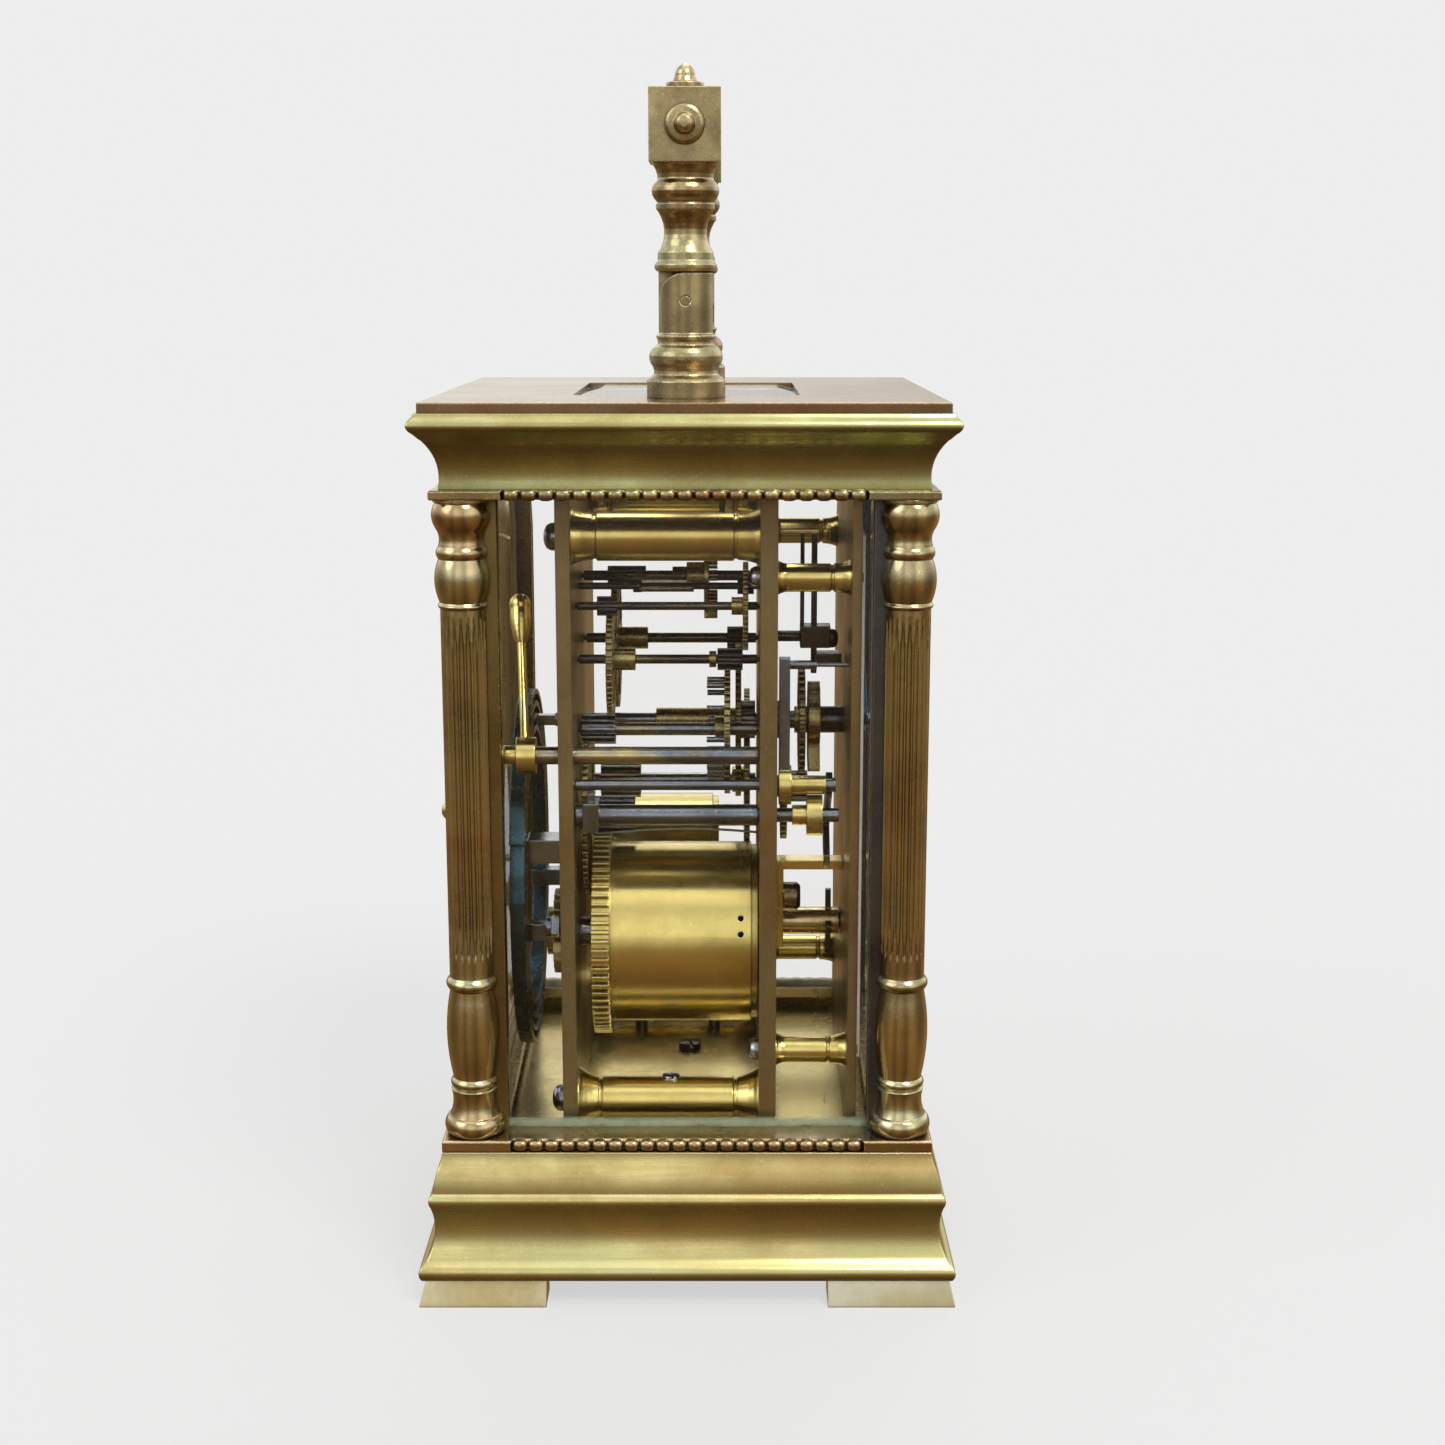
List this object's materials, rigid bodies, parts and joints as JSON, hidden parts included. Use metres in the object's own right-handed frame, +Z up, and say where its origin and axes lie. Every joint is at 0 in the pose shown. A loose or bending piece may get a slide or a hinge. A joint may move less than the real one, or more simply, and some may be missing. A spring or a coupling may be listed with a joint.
{
  "type": "carriage clock",
  "caption": "Brass carriage clock with turned corner columns, bevelled glass panes, stepped mouldings, bracket feet, hinged rear door, folding handle and a striking spring movement.",
  "frame": {"origin": "centre of the feet on the plane they stand on", "axes": "+Z up, front with the dial faces -Y, +X to the right when seen from the front"},
  "size_m": [0.1002, 0.0904, 0.2032],
  "materials": {
    "moulded_brass": "satin, aged",
    "copper_patina": "patinated",
    "handle_brass": "satin, aged",
    "plate_brass": "brushed",
    "polished_brass": "polished",
    "wheel_brass": "satin",
    "grey_steel": "polished",
    "dark_steel": "oiled",
    "blued_steel": "heat blued",
    "clear_glass": "bevelled",
    "enamel": "vitreous enamel"
  },
  "bodies": {
    "case": {"bracket_feet": "handle_brass", "base_moulding": "moulded_brass", "base_plate": "moulded_brass", "lower_bead_band": "copper_patina", "columns": "copper_patina", "upper_bead_band": "handle_brass", "cornice": "moulded_brass", "top_plate": "copper_patina", "top_glass": "clear_glass", "side_glasses": "clear_glass", "front_glass": "clear_glass", "case_screws": "grey_steel", "handle_sockets": "handle_brass", "back_plate": "plate_brass", "front_plate": "plate_brass", "movement_pillars": "polished_brass", "plate_screws": "grey_steel", "dial_pillars": "polished_brass", "dial_plate": "plate_brass", "dial": "enamel", "dial_bracket": "polished_brass", "gong": "blued_steel", "gong_block": "grey_steel", "platform": "polished_brass", "balance_cock": "polished_brass"},
    "handle": {"handle_arms": "handle_brass", "handle_grip": "handle_brass", "handle_caps": "handle_brass", "handle_pins": "grey_steel"},
    "rear_door": {"door_frame": "handle_brass", "door_glass": "clear_glass", "door_knob": "polished_brass", "door_hinge_pins": "grey_steel"},
    "minute_train": {"centre_arbor": "grey_steel", "minute_hand": "blued_steel"},
    "motion_wheel": {"minute_wheel": "wheel_brass"},
    "hour_train": {"hour_wheel": "wheel_brass", "hour_hand": "blued_steel"},
    "alarm_setting": {"alarm_hand": "dark_steel"},
    "escape": {"escape_wheel": "wheel_brass"},
    "contrate": {"contrate_wheel": "wheel_brass"},
    "third": {"third_wheel": "wheel_brass"},
    "centre": {"centre_wheel": "wheel_brass"},
    "intermediate": {"intermediate_wheel": "wheel_brass"},
    "going_spring_barrel": {"going_barrel": "polished_brass"},
    "fly_arbor": {"fly": "dark_steel"},
    "warning": {"warning_wheel": "wheel_brass"},
    "locking": {"locking_wheel": "wheel_brass"},
    "pin": {"pin_wheel": "wheel_brass"},
    "strike_second": {"strike_second_wheel": "wheel_brass"},
    "strike_spring_barrel": {"strike_barrel": "polished_brass"},
    "balance": {"balance_wheel": "polished_brass"},
    "lever": {"pallet_lever": "grey_steel"},
    "hammer_arbor": {"hammer": "polished_brass"},
    "lifting": {"lifting_lever": "grey_steel"},
    "rack": {"strike_rack": "grey_steel"},
    "going_winder": {"going_winding_arbor": "grey_steel"},
    "strike_winder": {"strike_winding_arbor": "grey_steel"},
    "going_pawl": {"going_click": "grey_steel"},
    "strike_pawl": {"strike_click": "grey_steel"}
  },
  "joints": [
    {"name": "handle_fold", "type": "hinge", "parent": "case", "child": "handle", "pos_m": [0, 0, 0.1662], "axis": [-1, 0, 0], "range_deg": [0, 88]},
    {"name": "door_swing", "type": "hinge", "parent": "case", "child": "rear_door", "pos_m": [0.0336, 0.0343, 0.08], "axis": [0, 0, -1], "range_deg": [0, 100]},
    {"name": "hands_turn", "type": "hinge", "parent": "case", "child": "minute_train", "pos_m": [0, 0, 0.0907], "axis": [0, 1, 0], "continuous": true},
    {"name": "minute_wheel_turn", "type": "hinge", "parent": "case", "child": "motion_wheel", "pos_m": [-0.0029, 0, 0.07906], "axis": [0, 1, 0], "continuous": true},
    {"name": "hour_turn", "type": "hinge", "parent": "case", "child": "hour_train", "pos_m": [0, 0, 0.0907], "axis": [0, 1, 0], "continuous": true},
    {"name": "alarm_set", "type": "hinge", "parent": "case", "child": "alarm_setting", "pos_m": [0, 0, 0.0531], "axis": [0, 1, 0], "continuous": true},
    {"name": "escape_turn", "type": "hinge", "parent": "case", "child": "escape", "pos_m": [0, -0.00575, 0.13], "axis": [0, 0, 1], "continuous": true},
    {"name": "contrate_turn", "type": "hinge", "parent": "case", "child": "contrate", "pos_m": [0, 0, 0.1168], "axis": [0, 1, 0], "continuous": true},
    {"name": "third_turn", "type": "hinge", "parent": "case", "child": "third", "pos_m": [0.00608, 0, 0.10454], "axis": [0, 1, 0], "continuous": true},
    {"name": "centre_turn", "type": "hinge", "parent": "case", "child": "centre", "pos_m": [0, 0, 0.0907], "axis": [0, 1, 0], "continuous": true},
    {"name": "intermediate_turn", "type": "hinge", "parent": "case", "child": "intermediate", "pos_m": [0.0134, 0, 0.07653], "axis": [0, 1, 0], "continuous": true},
    {"name": "going_barrel_turn", "type": "hinge", "parent": "case", "child": "going_spring_barrel", "pos_m": [0.0182, 0, 0.0566], "axis": [0, 1, 0], "continuous": true},
    {"name": "fly_turn", "type": "hinge", "parent": "case", "child": "fly_arbor", "pos_m": [-0.01473, 0, 0.11718], "axis": [0, 1, 0], "continuous": true},
    {"name": "warning_turn", "type": "hinge", "parent": "case", "child": "warning", "pos_m": [-0.02285, 0, 0.11501], "axis": [0, 1, 0], "continuous": true},
    {"name": "locking_turn", "type": "hinge", "parent": "case", "child": "locking", "pos_m": [-0.01843, 0, 0.10509], "axis": [0, 1, 0], "continuous": true},
    {"name": "pin_wheel_turn", "type": "hinge", "parent": "case", "child": "pin", "pos_m": [-0.01779, 0, 0.09271], "axis": [0, 1, 0], "continuous": true},
    {"name": "strike_second_turn", "type": "hinge", "parent": "case", "child": "strike_second", "pos_m": [-0.01641, 0, 0.07702], "axis": [0, 1, 0], "continuous": true},
    {"name": "strike_barrel_turn", "type": "hinge", "parent": "case", "child": "strike_spring_barrel", "pos_m": [-0.0182, 0, 0.0566], "axis": [0, 1, 0], "continuous": true},
    {"name": "balance_swing", "type": "hinge", "parent": "case", "child": "balance", "pos_m": [0, 0.00725, 0.142], "axis": [0, 0, 1], "range_deg": [-135, 135], "stiffness_Nm_per_rad": 0.000007},
    {"name": "lever_rock", "type": "hinge", "parent": "case", "child": "lever", "pos_m": [0, 0.00085, 0.141], "axis": [0, 0, 1], "range_deg": [-5, 5]},
    {"name": "hammer_swing", "type": "hinge", "parent": "case", "child": "hammer_arbor", "pos_m": [-0.032, 0, 0.0912], "axis": [0, 1, 0], "range_deg": [0, 44]},
    {"name": "lifting_swing", "type": "hinge", "parent": "case", "child": "lifting", "pos_m": [-0.033, 0, 0.0812], "axis": [0, 1, 0], "range_deg": [-6, 6]},
    {"name": "rack_swing", "type": "hinge", "parent": "case", "child": "rack", "pos_m": [-0.033, 0, 0.0864], "axis": [0, 1, 0], "range_deg": [-8, 8]},
    {"name": "going_wind", "type": "hinge", "parent": "case", "child": "going_winder", "pos_m": [0.0182, 0, 0.0566], "axis": [0, 1, 0], "continuous": true},
    {"name": "strike_wind", "type": "hinge", "parent": "case", "child": "strike_winder", "pos_m": [-0.0182, 0, 0.0566], "axis": [0, 1, 0], "continuous": true},
    {"name": "going_click_lift", "type": "hinge", "parent": "case", "child": "going_pawl", "pos_m": [0.02854, 0, 0.06036], "axis": [0, 1, 0], "range_deg": [0, 12]},
    {"name": "strike_click_lift", "type": "hinge", "parent": "case", "child": "strike_pawl", "pos_m": [-0.02854, 0, 0.06036], "axis": [0, 1, 0], "range_deg": [0, 12]}
  ],
  "couplings": [
    {"joint": "minute_wheel_turn", "follows": "hands_turn", "ratio": -0.33333},
    {"joint": "hour_turn", "follows": "hands_turn", "ratio": 0.083333},
    {"joint": "contrate_turn", "follows": "escape_turn", "ratio": -0.13333},
    {"joint": "third_turn", "follows": "escape_turn", "ratio": 0.015686},
    {"joint": "centre_turn", "follows": "escape_turn", "ratio": -0.0019608},
    {"joint": "intermediate_turn", "follows": "escape_turn", "ratio": 0.00035651},
    {"joint": "going_barrel_turn", "follows": "escape_turn", "ratio": -0.000061115},
    {"joint": "warning_turn", "follows": "fly_turn", "ratio": -0.16667},
    {"joint": "locking_turn", "follows": "fly_turn", "ratio": 0.024691},
    {"joint": "pin_wheel_turn", "follows": "fly_turn", "ratio": -0.003658},
    {"joint": "strike_second_turn", "follows": "fly_turn", "ratio": 0.00060966},
    {"joint": "strike_barrel_turn", "follows": "fly_turn", "ratio": -0.00010451}
  ]
}
